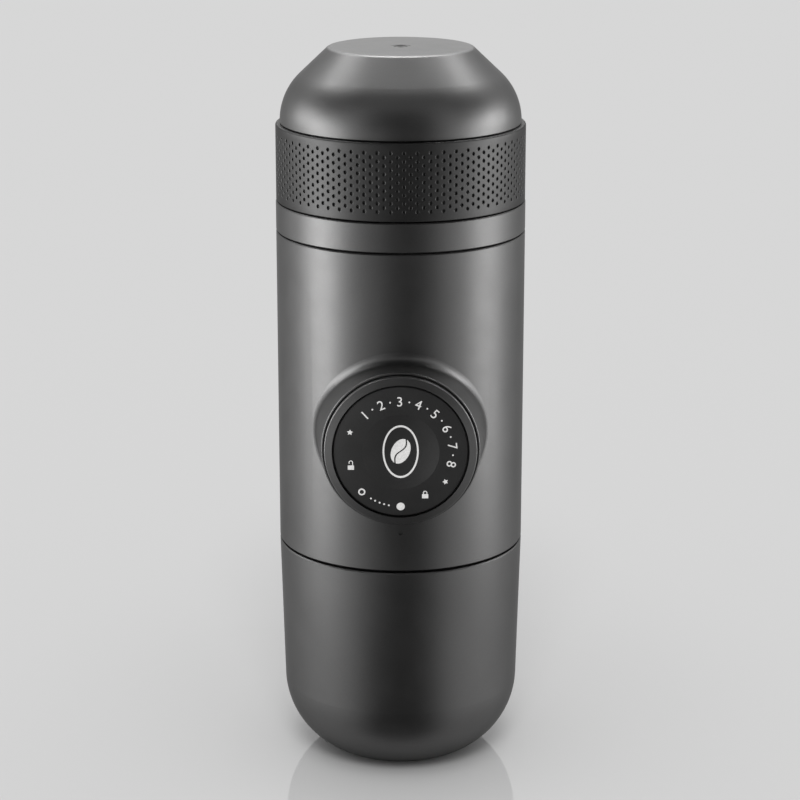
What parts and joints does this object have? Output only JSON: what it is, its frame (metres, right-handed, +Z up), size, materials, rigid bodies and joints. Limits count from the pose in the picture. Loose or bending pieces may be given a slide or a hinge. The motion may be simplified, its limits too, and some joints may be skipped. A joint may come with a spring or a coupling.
{
  "type": "handheld manual espresso maker",
  "caption": "Slim upright hand pump coffee maker with a screw-on dome tank, a dimpled grip band, a round push knob at the front and a rounded cup that covers the outlet.",
  "frame": {"origin": "centre of the cup's flat foot, on the surface the object stands on", "axes": "+Z up along the body, -Y toward the push knob, +X to the right of somebody who faces the knob"},
  "size_m": [0.0596, 0.0704, 0.175],
  "materials": {
    "shell": "satin metallic grey",
    "band": "satin, dimpled for grip",
    "knob": "satin dark grey",
    "chassis": "moulded black",
    "liner": "smooth black",
    "head": "smooth black",
    "seal": "grey silicone",
    "spring_steel": "drawn wire",
    "steel": "turned",
    "bearing": "polished ball",
    "valve_body": "turned"
  },
  "bodies": {
    "cup": {"cup": "shell"},
    "main_body": {"body_shell": "shell", "collar_ring": "shell", "tank_gasket": "seal", "neck_ring": "chassis", "tank_floor_plate": "chassis", "inlet_strainer": "steel", "inlet_duct": "seal", "pump_frame": "chassis", "frame_screws": "steel", "guide_sleeve": "chassis", "lock_ring": "chassis", "pump_cylinder": "steel", "cylinder_end_cap": "chassis", "guide_bush": "chassis", "valve_column": "chassis", "inlet_valve_seat": "valve_body", "inlet_valve_spring": "spring_steel", "inlet_plug": "chassis", "outlet_valve_seat": "valve_body", "outlet_valve_spring": "spring_steel", "outlet_plug": "chassis", "outlet_duct": "chassis", "base_ring": "chassis", "cup_seal_ring": "seal", "brew_head": "chassis", "piercing_needles": "steel", "brew_gasket": "seal"},
    "tank_carrier": {"tank_seal_ring": "seal"},
    "tank": {"tank_dome": "shell", "grip_band": "band", "tank_liner": "liner", "air_valve": "seal", "air_valve_flap": "seal"},
    "capsule_carrier": {"capsule_holder": "head"},
    "outlet_head": {"outlet_head_body": "head", "outlet_spout": "head", "outlet_plate": "steel"},
    "piston": {"piston_rod": "steel", "piston_head": "chassis", "piston_seal": "seal", "return_spring": "spring_steel", "knob_screw": "steel"},
    "knob": {"knob_body": "knob", "knob_face_plate": "knob"},
    "inlet_ball": {"inlet_valve_ball": "bearing"},
    "outlet_ball": {"outlet_valve_ball": "bearing"}
  },
  "joints": [
    {"name": "machine_lift", "type": "slide", "parent": "cup", "child": "main_body", "axis": [0, 0, 1], "range_m": [0, 0.06]},
    {"name": "tank_rise", "type": "slide", "parent": "main_body", "child": "tank_carrier", "axis": [0, 0, 1], "range_m": [0, 0.0085]},
    {"name": "tank_turn", "type": "hinge", "parent": "tank_carrier", "child": "tank", "pos_m": [0, 0, 0.149], "axis": [0, 0, 1], "range_deg": [0, 612.01]},
    {"name": "head_drop", "type": "slide", "parent": "main_body", "child": "capsule_carrier", "axis": [0, 0, -1], "range_m": [0, 0.008]},
    {"name": "head_turn", "type": "hinge", "parent": "capsule_carrier", "child": "outlet_head", "pos_m": [0, 0, 0.04], "axis": [0, 0, -1], "range_deg": [0, 576.01]},
    {"name": "piston_stroke", "type": "slide", "parent": "main_body", "child": "piston", "axis": [0, -1, 0], "range_m": [0, 0.02], "deforming": ["return_spring"]},
    {"name": "knob_turn", "type": "hinge", "parent": "piston", "child": "knob", "pos_m": [0, -0.03, 0.08763], "axis": [0, -1, 0], "range_deg": [0, 45]},
    {"name": "inlet_valve", "type": "slide", "parent": "main_body", "child": "inlet_ball", "axis": [0, 0, -1], "range_m": [0, 0.0012], "stiffness_N_per_m": 30, "springref_m": -0.0005, "deforming": ["inlet_valve_spring"]},
    {"name": "outlet_valve", "type": "slide", "parent": "main_body", "child": "outlet_ball", "axis": [0, 0, -1], "range_m": [0, 0.0012], "stiffness_N_per_m": 30, "springref_m": -0.0005, "deforming": ["outlet_valve_spring"]}
  ],
  "couplings": [
    {"joint": "tank_turn", "follows": "tank_rise", "rad_per_m": 1256.6},
    {"joint": "head_turn", "follows": "head_drop", "rad_per_m": 1256.6}
  ]
}
